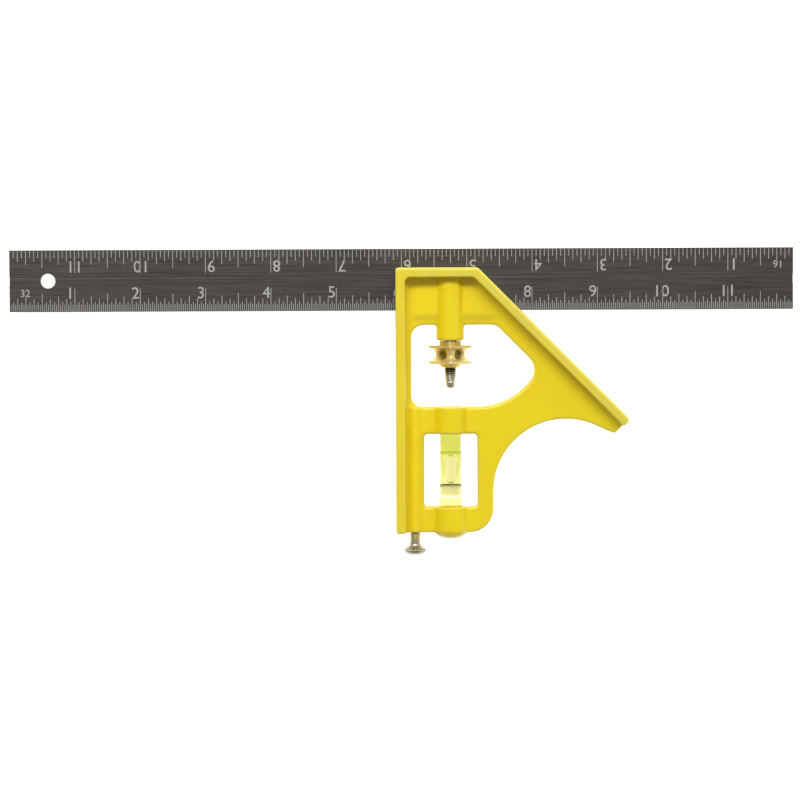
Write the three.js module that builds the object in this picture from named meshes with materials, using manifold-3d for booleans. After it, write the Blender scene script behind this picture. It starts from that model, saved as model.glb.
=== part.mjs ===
// A 12 inch combination square: a steel rule clamped in a die-cast head with a 90 degree
// and a 45 degree face, a spring-loaded clamp bolt with its nut, a spirit vial and a scriber.
// Units are millimetres. The square lies on its back: +X runs along the rule to the right,
// +Y across it and +Z up, away from the table. Pieces are drawn from the corner where the
// 90 degree face meets the rule's seat, at mid-thickness, and the group is then set down
// so that its origin is the middle of the whole square's underside.
import * as THREE from 'three';
import { mergeVertices } from 'three/addons/utils/BufferGeometryUtils.js';
import Module from 'manifold-3d';

const wasm = await Module();
wasm.setup();

// Rule
const bladeLength = 304.8;
const bladeHeight = 24;
const bladeThickness = 2.2;
const bladeLeftReach = 149.9;
const grooveWidth = 3.4;
const grooveDepth = 0.7;
const hangHoleRadius = 2.9;
const hangHoleInset = 14.9;

// Head casting
const headThickness = 19;
const webThickness = 5.6;
const headTop = 16.8;
const topLength = 32;
const mitreLength = 83.7;
const tipWidth = 8.3;
const headDrop = 86.6;
const fingerRadius = 28.1;
const fingerDrop = 70.5;
const columnWidth = 38.1;
const fingerEndAngle = 64;
const footCornerRadius = 9.3;
const tipCornerRadius = 1.6;
const smallCornerRadius = 1;
const rimWidth = 3.8;
const rimFootRadius = 1.4;
const recessCornerRadius = rimFootRadius + 0.4;
const castEdgeRadius = 0.7;
const openingChamfer = 0.6;
const bossChamfer = 0.6;
const slotClearance = 0.2;
const seatClearance = 0.05;

// Opening in the head for the fingers and the nut
const leftBarWidth = 6.2;
const topBarDrop = 5.6;
const openingDrop = 37.5;
const mitreLimbWidth = 10.8;
const throatWidth = 11.9;
const openingTopLeftRadius = 4.8;
const openingTopRightRadius = 4;
const openingBottomLeftRadius = 4.2;
const openingNoseShare = 0.333;
const openingSillShare = 0.515;

// Clamp: bolt, spring and nut, all on one axis with the vial
const centreLine = 21.4;
const boltBossRadius = 5.45;
const boltBossDrop = 11.7;
const boltHeadRadius = 3.4;
const boltBoreClearance = 0.2;
const boltHeadTop = 13;
const boltLift = 0.8;
const shoulderTopDrop = 1.2;
const shoulderHeight = 2.4;
const boltStemRadius = 2.35;
const boltEndDrop = 30.2;
const boltEndRadius = 1.45;
const boltTaperLength = 4;
const stemClearance = 0.3;
const ledgeHeight = 2.2;
const tongueHeight = 1.9;
const tongueWidth = 5;
const flatClearance = 0.15;
const springWire = 0.6;
const springTurns = 4;
const springRadius = 2.95;
const springEndClearance = 0.3;

// Nut
const nutGap = 0.3;
const nutCollarRadius = 3.5;
const nutCollarHeight = 1.7;
const nutRimRadius = 8.5;
const nutWaistRadius = 5.7;
const nutBodyHeight = 7;
const nutShoulderRadius = 4.6;
const nutTailRadius = 3.3;
const nutTailHeight = 1.5;
const nutLobes = 4;
const nutFluteDepth = 2.2;
const nutFluteSharpness = 1.5;
const nutWaistSharpness = 3;

// Vial window, vial and what holds it
const windowWidth = 20.8;
const windowTopDrop = 48.1;
const windowBottomDrop = 76.5;
const windowCornerRadius = 1.2;
const vialBossRadius = 6.6;
const vialBossEndDrop = 89.2;
const vialBossDomeHeight = 3.6;
const vialRadius = 4.3;
const vialLength = 38.4;
const vialWall = 0.9;
const vialSolidEnd = 7.4;
const vialCapDepth = 3;
const vialCapFlange = 1.2;
const vialFit = 0.15;
const fluidFit = 0.05;
const plugHeight = 3;
const padHeight = 1.6;
const stackGap = 0.3;
const ringWidth = 0.5;
const ringDepth = 0.4;
const ringSpacing = 12.8;
const ringMiddleDrop = 61.9;
const bubbleLength = 11.4;
const bubbleWidth = 5.4;
const bubbleDepth = 2.6;

// Scriber
const scriberInset = 7.4;
const scriberBossRadius = 3.8;
const needleRadius = 1.1;
const needlePointLength = 6;
const needleReach = 44;
const needleSeat = 4;
const needleClearance = 0.2;
const bushRadius = 2.5;
const bushLength = 8;
const bushFit = 0.05;
const knobGap = 0.3;
const knobNeckRadius = 2;
const knobNeckLength = 4;
const knobRadius = 4.25;
const knobFlareHeight = 2.4;
const knobRimHeight = 0.5;
const knobShoulderRadius = 3.7;
const knobShoulderHeight = 0.8;
const knobEndRadius = 2.4;
const knobEndHeight = 0.8;

// Fineness of the faceted curves: the widest gap between a curve and its facets
const curveTolerance = 0.03;
const turnSteps = 48;
const boreSteps = 32;
const stepsPerLobe = 18;
const edgeSteps = 3;
const cutMargin = 5;

// Places that several pieces share
const foot = -headDrop;
const fingerCentre = new THREE.Vector2(columnWidth + fingerRadius, -fingerDrop);
const mitreDirection = new THREE.Vector2(1, -1).normalize();
const mitreInward = new THREE.Vector2(-1, -1).normalize();
const mitreStart = new THREE.Vector2(topLength, headTop);
const mitreEnd = mitreStart.clone().addScaledVector(mitreDirection, mitreLength);
const bladeLeft = -bladeLeftReach;
const bladeFront = bladeThickness / 2;
const grooveMiddle = seatClearance + bladeHeight / 2;
const grooveBottom = grooveMiddle - grooveWidth / 2;
const boltBoreRadius = boltHeadRadius + boltBoreClearance;
const stemHoleRadius = boltStemRadius + stemClearance;
const boltBossEnd = -boltBossDrop;
const ledgeTop = boltBossEnd + ledgeHeight;
const shoulderBottom = -shoulderTopDrop - shoulderHeight;
const nutTop = boltBossEnd - nutGap;
const vialBoreRadius = vialRadius + vialFit;
const plugTop = -openingDrop - stackGap;
const vialTop = plugTop - plugHeight - stackGap;
const vialBottom = vialTop - vialLength;
const vialBoreEnd = vialBottom - 2 * stackGap - padHeight;
const fluidBottom = vialBottom + vialSolidEnd;
const fluidTop = vialTop - vialCapDepth;
const vialBoreInner = vialRadius - vialWall;
const needleHoleRadius = needleRadius + needleClearance;
const knobTop = foot - knobGap;
const knobWidest = knobTop - knobNeckLength - knobFlareHeight;
const knobEnd = knobWidest - knobRimHeight - knobShoulderHeight - knobEndHeight;

const colours = {
  casting: ['#edd52c', 0.35, 0],
  blade: ['#4c4a44', 0.45, 0.7],
  steel: ['#9d9c88', 0.35, 0.9],
  brass: ['#b49c4e', 0.3, 0.9],
  clear: ['#f2f4d8', 0.08, 0],
  fluid: ['#d4dc4b', 0.1, 0],
  black: ['#26261f', 0.6, 0],
  plastic: ['#e8e6d8', 0.5, 0],
};

// Points along an arc, close enough together to stay within the curve tolerance.
function arcPoints(centre, radius, startAngle, endAngle) {
  const widestStep = 2 * Math.acos(1 - curveTolerance / radius);
  const count = Math.max(2, Math.ceil(Math.abs(endAngle - startAngle) / widestStep));
  return Array.from({ length: count + 1 }, (_, i) => {
    const angle = startAngle + ((endAngle - startAngle) * i) / count;
    const outward = new THREE.Vector2(Math.cos(angle), Math.sin(angle));
    return outward.multiplyScalar(radius).add(centre);
  });
}

// The shorter arc about a centre from one point to another.
function arcBetween(centre, start, end) {
  const from = start.clone().sub(centre);
  const to = end.clone().sub(centre);
  const sweep = Math.atan2(from.cross(to), from.dot(to));
  const startAngle = Math.atan2(from.y, from.x);
  return arcPoints(centre, from.length(), startAngle, startAngle + sweep);
}

// The points of a corner rounded with a tangent arc.
function roundedCorner(before, corner, after, radius) {
  const back = before.clone().sub(corner).normalize();
  const ahead = after.clone().sub(corner).normalize();
  const half = Math.acos(back.dot(ahead)) / 2;
  const reach = radius / Math.tan(half);
  const middle = back.clone().add(ahead).normalize();
  const centre = corner.clone().addScaledVector(middle, radius / Math.sin(half));
  const start = corner.clone().addScaledVector(back, reach);
  const end = corner.clone().addScaledVector(ahead, reach);
  return arcBetween(centre, start, end);
}

// A closed outline through corners given as [x, y, radius].
function roundedOutline(corners) {
  const points = corners.map(([x, y]) => new THREE.Vector2(x, y));
  const count = points.length;
  return points.flatMap((point, i) => {
    const before = points[(i + count - 1) % count];
    const after = points[(i + 1) % count];
    return roundedCorner(before, point, after, corners[i][2]);
  });
}

// A closed manifold solid of a three.js geometry, with its corners merged.
function solidOf(geometry) {
  const bare = new THREE.BufferGeometry();
  bare.setAttribute('position', geometry.getAttribute('position'));
  bare.setIndex(geometry.getIndex());
  const merged = mergeVertices(bare, 1e-5);
  const corners = merged.getIndex().array;
  const triangles = [];
  for (let i = 0; i < corners.length; i += 3) {
    const [a, b, c] = corners.subarray(i, i + 3);
    if (a !== b && b !== c && c !== a) triangles.push(a, b, c);
  }
  return new wasm.Manifold(new wasm.Mesh({
    numProp: 3,
    vertProperties: new Float32Array(merged.getAttribute('position').array),
    triVerts: new Uint32Array(triangles),
  }));
}

// A named mesh of a solid in one of the colours above.
function pieceOf(name, solid, [color, roughness, metalness]) {
  const { vertProperties, triVerts } = solid.getMesh();
  const geometry = new THREE.BufferGeometry();
  geometry.setAttribute('position', new THREE.BufferAttribute(vertProperties, 3));
  geometry.setIndex(new THREE.BufferAttribute(triVerts, 1));
  geometry.computeVertexNormals();
  const material = new THREE.MeshStandardMaterial({ color, roughness, metalness });
  const mesh = new THREE.Mesh(geometry, material);
  mesh.name = name;
  return mesh;
}

// A plate between two heights, with its edges rounded inwards by the given radius.
function plate(points, low, high, edge = 0) {
  const geometry = new THREE.ExtrudeGeometry(new THREE.Shape(points), {
    depth: high - low - 2 * edge,
    bevelEnabled: edge > 0,
    bevelThickness: edge,
    bevelSize: edge,
    bevelOffset: -edge,
    bevelSegments: edgeSteps,
  });
  return solidOf(geometry.translate(0, 0, low + edge));
}

// A plate whose middle is wider than its two faces by the given chamfer all round.
function flaredPlate(points, low, high, chamfer) {
  const geometry = new THREE.ExtrudeGeometry(new THREE.Shape(points), {
    depth: high - low - 2 * chamfer,
    bevelThickness: chamfer,
    bevelSize: chamfer,
    bevelSegments: 1,
  });
  return solidOf(geometry.translate(0, 0, low + chamfer));
}

// A box given by its lowest and highest corner.
function block(low, high) {
  const size = new THREE.Vector3(...high).sub(new THREE.Vector3(...low));
  const geometry = new THREE.BoxGeometry(size.x, size.y, size.z);
  return solidOf(geometry.translate(low[0] + size.x / 2, low[1] + size.y / 2, low[2] + size.z / 2));
}

// A form turned about an axis parallel to Y at the given x. The profile lists radii and
// heights from the lower end to the upper end, both on the axis.
function turning(profile, x, steps = turnSteps) {
  const points = profile.map(([radius, y]) => new THREE.Vector2(radius, y));
  return solidOf(new THREE.LatheGeometry(points, steps).translate(x, 0, 0));
}

// A plain rod or bore about such an axis.
function rod(radius, low, high, x, steps = boreSteps) {
  return turning([[0, low], [radius, low], [radius, high], [0, high]], x, steps);
}

// The casting's outline, anticlockwise from its top left corner.
function headOutline() {
  const topLeft = new THREE.Vector2(0, headTop);
  const bottomLeft = new THREE.Vector2(0, foot);
  const bottomRight = new THREE.Vector2(columnWidth, foot);
  const fingerArc = arcPoints(
    fingerCentre, fingerRadius, Math.PI, THREE.MathUtils.degToRad(fingerEndAngle),
  );
  const fingerEnd = fingerArc[fingerArc.length - 1];
  const tipLow = mitreEnd.clone().addScaledVector(mitreInward, tipWidth);
  return [
    ...roundedCorner(mitreStart, topLeft, bottomLeft, smallCornerRadius),
    ...roundedCorner(topLeft, bottomLeft, bottomRight, smallCornerRadius),
    ...roundedCorner(bottomLeft, bottomRight, fingerArc[0], footCornerRadius),
    ...fingerArc,
    ...roundedCorner(fingerEnd, tipLow, mitreEnd, smallCornerRadius),
    ...roundedCorner(tipLow, mitreEnd, mitreStart, tipCornerRadius),
    ...roundedCorner(mitreEnd, mitreStart, topLeft, smallCornerRadius),
  ];
}

// The recess inside rims of a given width, drawn well past the sides that have no rim.
function recessOutline(width) {
  const top = headTop - width;
  const slantStart = mitreStart.x + mitreStart.y - width * Math.SQRT2 - top;
  const right = mitreEnd.x + cutMargin;
  const low = foot - cutMargin;
  const slantEnd = slantStart + top - right;
  return roundedOutline([
    [width, top, recessCornerRadius],
    [width, low, recessCornerRadius],
    [right, low, recessCornerRadius],
    [right, slantEnd, recessCornerRadius],
    [slantStart, top, recessCornerRadius],
  ]);
}

// The large opening, anticlockwise from its top left corner. Its slanted side runs beside
// the 45 degree face, and its lower right side square to that, beside the finger arc. The
// roundings at that side's two ends, the sill and the nose, each take up a share of it.
function openingOutline() {
  const slantSum = mitreStart.x + mitreStart.y - mitreLimbWidth * Math.SQRT2;
  const throatReach = (fingerRadius + throatWidth) * Math.SQRT2;
  const throatDifference = fingerCentre.x - fingerCentre.y - throatReach;
  const noseX = (slantSum + throatDifference) / 2;
  const sillX = throatDifference - openingDrop;
  const throatSide = (noseX - sillX) * Math.SQRT2;
  const sillRadius = (openingSillShare * throatSide) / Math.tan(Math.PI / 8);
  return roundedOutline([
    [leftBarWidth, -topBarDrop, openingTopLeftRadius],
    [leftBarWidth, -openingDrop, openingBottomLeftRadius],
    [sillX, -openingDrop, sillRadius],
    [noseX, slantSum - noseX, openingNoseShare * throatSide],
    [slantSum + topBarDrop, -topBarDrop, openingTopRightRadius],
  ]);
}

function windowOutline() {
  const left = centreLine - windowWidth / 2;
  const right = centreLine + windowWidth / 2;
  return roundedOutline([
    [left, -windowTopDrop, windowCornerRadius],
    [left, -windowBottomDrop, windowCornerRadius],
    [right, -windowBottomDrop, windowCornerRadius],
    [right, -windowTopDrop, windowCornerRadius],
  ]);
}

// The boss round the clamp bolt: a round bar that ends inside the head's top rim.
function boltBoss() {
  const bossTop = headTop - rimWidth / 2;
  return turning([
    [0, boltBossEnd],
    [boltBossRadius - bossChamfer, boltBossEnd],
    [boltBossRadius, boltBossEnd + bossChamfer],
    [boltBossRadius, bossTop],
    [0, bossTop],
  ], centreLine);
}

// The boss round the scriber, from the foot to the large opening.
function scriberBoss() {
  return rod(scriberBossRadius, foot, -openingDrop, scriberInset, turnSteps);
}

// The two bosses round the vial's ends, the lower one with a domed end past the foot.
function vialBosses() {
  const upper = rod(vialBossRadius, -windowTopDrop, -openingDrop, centreLine, turnSteps);
  const domeTop = -vialBossEndDrop + vialBossDomeHeight;
  const stretch = vialBossDomeHeight / vialBossRadius;
  const quarter = arcPoints(new THREE.Vector2(0, 0), vialBossRadius, -Math.PI / 2, 0);
  const lower = turning([
    [0, -vialBossEndDrop],
    ...quarter.slice(1).map(({ x, y }) => [x, domeTop + y * stretch]),
    [vialBossRadius, -windowBottomDrop],
    [0, -windowBottomDrop],
  ], centreLine);
  return [upper, lower];
}

// The bores for the bolt, its stem, the vial, the scriber's bush and its needle.
function headBores() {
  const boltBore = rod(boltBoreRadius, ledgeTop, boltHeadTop + boltLift + flatClearance, centreLine);
  const stemHole = rod(stemHoleRadius, boltBossEnd - cutMargin, ledgeTop + cutMargin, centreLine);
  const vialBore = rod(vialBoreRadius, vialBoreEnd, -openingDrop + cutMargin, centreLine);
  const bushHole = rod(bushRadius + bushFit, foot - cutMargin, foot + bushLength, scriberInset);
  const needleHole = rod(needleHoleRadius, foot, foot + needleReach + stackGap, scriberInset);
  return [boltBore, stemHole, vialBore, bushHole, needleHole];
}

// The rims and the web between them, with all outer edges rounded.
function rimmedWeb(half, halfWeb, past) {
  const outline = headOutline();
  const recess = recessOutline(rimWidth);
  const solid = plate(outline, -half, half, castEdgeRadius)
    .subtract(plate(recess, halfWeb, past, rimFootRadius))
    .subtract(plate(recess, -past, -halfWeb, rimFootRadius));
  const rimBand = plate(outline, -half, half)
    .subtract(plate(recessOutline(rimWidth + rimFootRadius), -past, past));
  return solid.intersect(plate(outline, -halfWeb, halfWeb, castEdgeRadius).add(rimBand));
}

// The cuts for an opening through the web, with a chamfer at each face of the web.
function webCuts(outline, halfWeb, past) {
  return [
    plate(outline, -past, past),
    flaredPlate(outline, halfWeb - openingChamfer, past, openingChamfer),
    flaredPlate(outline, -past, -halfWeb + openingChamfer, openingChamfer),
  ];
}

function headCasting() {
  const half = headThickness / 2;
  const halfWeb = webThickness / 2;
  const halfSlot = bladeThickness / 2 + slotClearance;
  const past = half + cutMargin;
  const cut = (solid, tools) => tools.reduce((rest, tool) => rest.subtract(tool), solid);
  const open = cut(rimmedWeb(half, halfWeb, past), [
    ...webCuts(openingOutline(), halfWeb, past),
    ...webCuts(windowOutline(), halfWeb, past),
  ]);
  const bosses = [boltBoss(), scriberBoss(), ...vialBosses()];
  const bossed = bosses.reduce((solid, boss) => solid.add(boss), open);
  const slot = block([-cutMargin, 0, -halfSlot], [mitreEnd.x, headTop + cutMargin, halfSlot]);
  return pieceOf('head_casting', cut(bossed, [slot, ...headBores()]), colours.casting);
}

function blade() {
  const bottom = seatClearance;
  const right = bladeLeft + bladeLength;
  const bar = block([bladeLeft, bottom, -bladeFront], [right, bottom + bladeHeight, bladeFront]);
  const groove = block(
    [bladeLeft - cutMargin, grooveBottom, bladeFront - grooveDepth],
    [right + cutMargin, grooveBottom + grooveWidth, bladeFront + cutMargin],
  );
  const hole = new THREE.CylinderGeometry(
    hangHoleRadius, hangHoleRadius, bladeThickness + 2 * cutMargin, boreSteps,
  ).rotateX(Math.PI / 2);
  hole.translate(bladeLeft + hangHoleInset, grooveMiddle, 0);
  return pieceOf('blade', bar.subtract(groove).subtract(solidOf(hole)), colours.blade);
}

// The clamp bolt, tapered at its lower end. Beside the rule its head is cut to a flat, and a
// tongue on the flat stands in the rule's groove and pulls the rule down on its seat.
function clampBolt() {
  const flat = bladeFront + flatClearance;
  const tongueBottom = grooveBottom + flatClearance;
  const body = turning([
    [0, -boltEndDrop],
    [boltEndRadius, -boltEndDrop],
    [boltStemRadius, -boltEndDrop + boltTaperLength],
    [boltStemRadius, shoulderBottom],
    [boltHeadRadius, shoulderBottom],
    [boltHeadRadius, boltHeadTop],
    [0, boltHeadTop],
  ], centreLine);
  const relief = block(
    [centreLine - boltHeadRadius - cutMargin, -shoulderTopDrop, -boltHeadRadius - cutMargin],
    [centreLine + boltHeadRadius + cutMargin, boltHeadTop + cutMargin, flat],
  );
  const tongue = block(
    [centreLine - tongueWidth / 2, tongueBottom, bladeFront - grooveDepth + flatClearance],
    [centreLine + tongueWidth / 2, tongueBottom + tongueHeight, flat + flatClearance],
  );
  return pieceOf('clamp_bolt', body.subtract(relief).add(tongue), colours.steel);
}

// The centre line of the clamp spring: a helix between the casting's ledge and the bolt.
class SpringLine extends THREE.Curve {
  getPoint(t, target = new THREE.Vector3()) {
    const low = ledgeTop + springEndClearance + springWire / 2;
    const high = shoulderBottom - springEndClearance - springWire / 2;
    const angle = 2 * Math.PI * springTurns * t;
    return target.set(
      centreLine + springRadius * Math.cos(angle),
      low + (high - low) * t,
      springRadius * Math.sin(angle),
    );
  }
}

function clampSpring() {
  const stepsPerTurn = 12;
  const sides = 6;
  const section = Array.from({ length: sides }, (_, i) => {
    const angle = (2 * Math.PI * i) / sides;
    return new THREE.Vector2(Math.cos(angle), Math.sin(angle)).multiplyScalar(springWire / 2);
  });
  const geometry = new THREE.ExtrudeGeometry(new THREE.Shape(section), {
    steps: springTurns * stepsPerTurn,
    extrudePath: new SpringLine(),
    bevelEnabled: false,
  });
  return pieceOf('clamp_spring', solidOf(geometry), colours.steel);
}

// The lock nut: a waisted brass thumb nut with round lobes, a collar towards the boss and
// a tapered tail. The radius shrinks in flutes between the lobes and again at the waist.
function lockNut() {
  const bodyTop = nutTop - nutCollarHeight;
  const bodyBottom = bodyTop - nutBodyHeight;
  const waistSteps = 8;
  const waist = Array.from({ length: waistSteps + 1 }, (_, i) => {
    const level = i / waistSteps;
    const towardsRim = Math.abs(2 * level - 1) ** nutWaistSharpness;
    const radius = nutWaistRadius + (nutRimRadius - nutWaistRadius) * towardsRim;
    return [radius, bodyBottom + nutBodyHeight * level];
  });
  const profile = [
    [0, bodyBottom - nutTailHeight],
    [nutTailRadius, bodyBottom - nutTailHeight],
    [nutShoulderRadius, bodyBottom],
    ...waist,
    [nutCollarRadius, bodyTop],
    [nutCollarRadius, nutTop],
    [0, nutTop],
  ].map(([radius, y]) => new THREE.Vector2(radius, y));
  const geometry = new THREE.LatheGeometry(profile, nutLobes * stepsPerLobe);
  const position = geometry.getAttribute('position');
  for (let i = 0; i < position.count; i += 1) {
    const x = position.getX(i);
    const z = position.getZ(i);
    const radius = Math.hypot(x, z);
    if (radius > nutWaistRadius - curveTolerance) {
      const wave = Math.abs(Math.sin((Math.atan2(x, z) * nutLobes) / 2));
      const valley = wave ** nutFluteSharpness;
      const scale = 1 - (nutFluteDepth * valley) / radius;
      position.setXYZ(i, x * scale, position.getY(i), z * scale);
    }
  }
  const body = solidOf(geometry.translate(centreLine, 0, 0));
  const thread = rod(stemHoleRadius, bodyBottom - cutMargin, nutTop + cutMargin, centreLine);
  return pieceOf('lock_nut', body.subtract(thread), colours.brass);
}

// A flat ring round the vial's axis.
function ringOf(outerRadius, innerRadius, low, high) {
  const hole = rod(innerRadius, low - cutMargin, high + cutMargin, centreLine, turnSteps);
  return rod(outerRadius, low, high, centreLine, turnSteps).subtract(hole);
}

function ringLevels() {
  return [-ringMiddleDrop + ringSpacing / 2, -ringMiddleDrop - ringSpacing / 2];
}

// The clear vial: a thick tube with one solid end, an open end and two ring grooves.
function vialTube() {
  const outer = rod(vialRadius, vialBottom, vialTop - vialCapFlange, centreLine, turnSteps);
  const chamber = rod(vialBoreInner, fluidBottom, vialTop + cutMargin, centreLine, turnSteps);
  const grooves = ringLevels().map((level) => {
    const low = level - ringWidth / 2 - fluidFit;
    const high = level + ringWidth / 2 + fluidFit;
    return ringOf(vialRadius + cutMargin, vialRadius - ringDepth - fluidFit, low, high);
  });
  const cut = grooves.reduce((solid, groove) => solid.subtract(groove), outer.subtract(chamber));
  return pieceOf('vial_tube', cut, colours.clear);
}

function vialRing(name, level) {
  const ring = ringOf(
    vialRadius, vialRadius - ringDepth, level - ringWidth / 2, level + ringWidth / 2,
  );
  return pieceOf(name, ring, colours.black);
}

// The cap that closes the vial's open end, with a flange over the tube's rim.
function vialCap() {
  const flangeLow = vialTop - vialCapFlange + fluidFit;
  const stopper = rod(vialBoreInner - fluidFit, fluidTop + fluidFit, flangeLow, centreLine, turnSteps);
  const flange = rod(vialRadius, flangeLow, vialTop, centreLine, turnSteps);
  return pieceOf('vial_cap', stopper.add(flange), colours.clear);
}

// The fluid, with the bubble's hollow against the tube's upper wall.
function vialFluid() {
  const radius = vialBoreInner - fluidFit;
  const column = rod(radius, fluidBottom + fluidFit, fluidTop, centreLine, turnSteps);
  const bubble = new THREE.SphereGeometry(1, 24, 16)
    .scale(bubbleWidth / 2, bubbleLength / 2, bubbleDepth)
    .translate(centreLine, -ringMiddleDrop, radius);
  return pieceOf('vial_fluid', column.subtract(solidOf(bubble)), colours.fluid);
}

function vialPlug() {
  const plug = rod(vialRadius, plugTop - plugHeight, plugTop, centreLine);
  return pieceOf('vial_plug', plug, colours.plastic);
}

function vialPad() {
  const top = vialBottom - stackGap;
  return pieceOf('vial_pad', rod(vialRadius, top - padHeight, top, centreLine), colours.black);
}

function scriberBush() {
  const bush = rod(bushRadius, foot, foot + bushLength - bushFit, scriberInset)
    .subtract(rod(needleHoleRadius, foot - cutMargin, foot + bushLength + cutMargin, scriberInset));
  return pieceOf('scriber_bush', bush, colours.brass);
}

function scriberNeedle() {
  const tip = foot + needleReach;
  const seat = knobTop - needleSeat;
  const needle = turning([
    [0, seat],
    [needleRadius, seat],
    [needleRadius, tip - needlePointLength],
    [0, tip],
  ], scriberInset, boreSteps);
  return pieceOf('scriber_needle', needle, colours.steel);
}

// The scriber's knob: a neck that flares to a round-edged head, bored for the needle.
function scriberKnob() {
  const flareSteps = 6;
  const flare = Array.from({ length: flareSteps + 1 }, (_, i) => {
    const level = i / flareSteps;
    const radius = knobNeckRadius + (knobRadius - knobNeckRadius) * (1 - level) ** 2;
    return [radius, knobWidest + knobFlareHeight * level];
  });
  const knob = turning([
    [0, knobEnd],
    [knobEndRadius, knobEnd],
    [knobShoulderRadius, knobEnd + knobEndHeight],
    [knobRadius, knobWidest - knobRimHeight],
    ...flare,
    [knobNeckRadius, knobTop],
    [0, knobTop],
  ], scriberInset);
  const seat = rod(
    needleRadius + fluidFit, knobTop - needleSeat - fluidFit, knobTop + cutMargin, scriberInset,
  );
  return pieceOf('scriber_knob', knob.subtract(seat), colours.steel);
}

const [upperRing, lowerRing] = ringLevels();
const square = new THREE.Group();
square.add(
  headCasting(),
  blade(),
  clampBolt(),
  clampSpring(),
  lockNut(),
  vialTube(),
  vialCap(),
  vialFluid(),
  vialRing('vial_ring_upper', upperRing),
  vialRing('vial_ring_lower', lowerRing),
  vialPlug(),
  vialPad(),
  scriberBush(),
  scriberNeedle(),
  scriberKnob(),
);
square.position.set(
  -(bladeLeft + bladeLength / 2),
  -(knobEnd + bladeHeight + seatClearance) / 2,
  headThickness / 2,
);

export default square;
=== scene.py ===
"""A combination square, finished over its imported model: cast head, grooved rule with graduations,
clamp bolt and lock nut, spirit vial and scriber, on a pale floor in soft light.

Lengths are in millimetres unless a name or a comment says otherwise. Meshes, lights and the
camera are in metres."""

import math

import bmesh
import bpy
import numpy as np
from bpy.props import FloatProperty, FloatVectorProperty, IntProperty, PointerProperty
from mathutils import Matrix, Vector


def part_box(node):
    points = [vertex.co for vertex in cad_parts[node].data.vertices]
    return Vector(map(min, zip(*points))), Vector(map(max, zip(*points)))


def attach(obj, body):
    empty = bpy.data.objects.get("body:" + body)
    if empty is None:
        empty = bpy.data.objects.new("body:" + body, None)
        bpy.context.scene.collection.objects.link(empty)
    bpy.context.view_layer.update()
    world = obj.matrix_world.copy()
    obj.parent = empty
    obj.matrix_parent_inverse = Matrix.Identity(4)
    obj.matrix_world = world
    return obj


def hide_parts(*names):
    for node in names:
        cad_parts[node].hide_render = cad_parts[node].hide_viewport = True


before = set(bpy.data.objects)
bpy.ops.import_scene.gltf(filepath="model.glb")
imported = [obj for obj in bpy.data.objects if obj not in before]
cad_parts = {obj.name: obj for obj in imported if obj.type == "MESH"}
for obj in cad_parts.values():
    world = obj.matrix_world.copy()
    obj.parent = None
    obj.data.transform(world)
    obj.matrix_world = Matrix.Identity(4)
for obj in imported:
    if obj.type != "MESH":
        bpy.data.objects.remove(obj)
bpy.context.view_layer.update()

bl_info = {
    "name": "Combination Square",
    "version": (1, 0, 0),
    "blender": (4, 5, 0),
    "location": "3D View > Sidebar > Square",
    "description": "Builds the finished pieces, materials and stage of a combination square",
    "category": "Object",
}

MM = 0.001
INCH = 25.4


def node_box(name):
    """The lowest and highest corner of a CAD node, as two arrays in millimetres."""
    low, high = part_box(name)
    return np.array(low) / MM, np.array(high) / MM


BLADE_LOW, BLADE_HIGH = node_box("blade")
HEAD_LOW, HEAD_HIGH = node_box("head_casting")
BOLT_LOW, BOLT_HIGH = node_box("clamp_bolt")
NUT_LOW, NUT_HIGH = node_box("lock_nut")
TUBE_LOW, TUBE_HIGH = node_box("vial_tube")
FLUID_LOW, FLUID_HIGH = node_box("vial_fluid")
RING_UPPER = node_box("vial_ring_upper")
RING_LOWER = node_box("vial_ring_lower")
KNOB_LOW, KNOB_HIGH = node_box("scriber_knob")
NEEDLE_LOW, NEEDLE_HIGH = node_box("scriber_needle")

# The middle lines of the turned pieces, which run along Y, as (x, z)
CLAMP_AXIS = (BOLT_LOW + BOLT_HIGH)[[0, 2]] / 2
SCRIBER_AXIS = (NEEDLE_LOW + NEEDLE_HIGH)[[0, 2]] / 2

# Length of the head's top. The 45 degree face starts at its end, and x + y is HEAD_SLANT on it
HEAD_TOP = 32.0
HEAD_SLANT = HEAD_LOW[0] + HEAD_TOP + HEAD_HIGH[1]

# Depth of the skin that counts as a milled face, and half the web's thickness
SOLE_SKIN = 0.07
WEB_HALF = 2.8

# Half the width of the rule's groove
GROOVE_HALF = 1.7

# The bolt's shoulder above the nut, where its threaded stem meets its upper end
SHOULDER = NUT_HIGH[1] + 8.4

# The middle of the vial's bubble, along Y
BUBBLE_MIDDLE = (RING_UPPER[0][1] + RING_LOWER[1][1]) / 2

# Each graduation's length by the coarsest fraction of an inch that it falls on, and how far from
# the rule's end the scale's number stands
LOWER_LINES = {32: 2.8, 16: 3.8, 8: 5.0, 4: 6.0, 2: 7.0, 1: 9.0}
UPPER_LINES = {16: 3.0, 8: 4.4, 4: 5.6, 2: 6.9, 1: 9.0}
SCALE_PLACE = 6.2

# Where the camera looks, in millimetres, and how it is turned from straight down, in degrees
CAMERA_TARGET = (-0.78, 0.84, 10.0)
CAMERA_TURN = (-3.0, -0.35, -0.26)


# Settings


def length(name, description, default, low=0.0):
    """A length setting, in millimetres."""
    return FloatProperty(name=name, description=description, default=default, min=low)


def count(name, description, default, low):
    """A setting that counts something."""
    return IntProperty(name=name, description=description, default=default, min=low)


def share(name, description, default):
    """A setting from 0 to 1."""
    return FloatProperty(
        name=name, description=description, default=default, min=0.0, max=1.0, subtype="FACTOR"
    )


def power(name, description, default):
    """A light's power setting, in watts."""
    return FloatProperty(name=name, description=description, default=default, min=0.0, unit="POWER")


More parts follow.
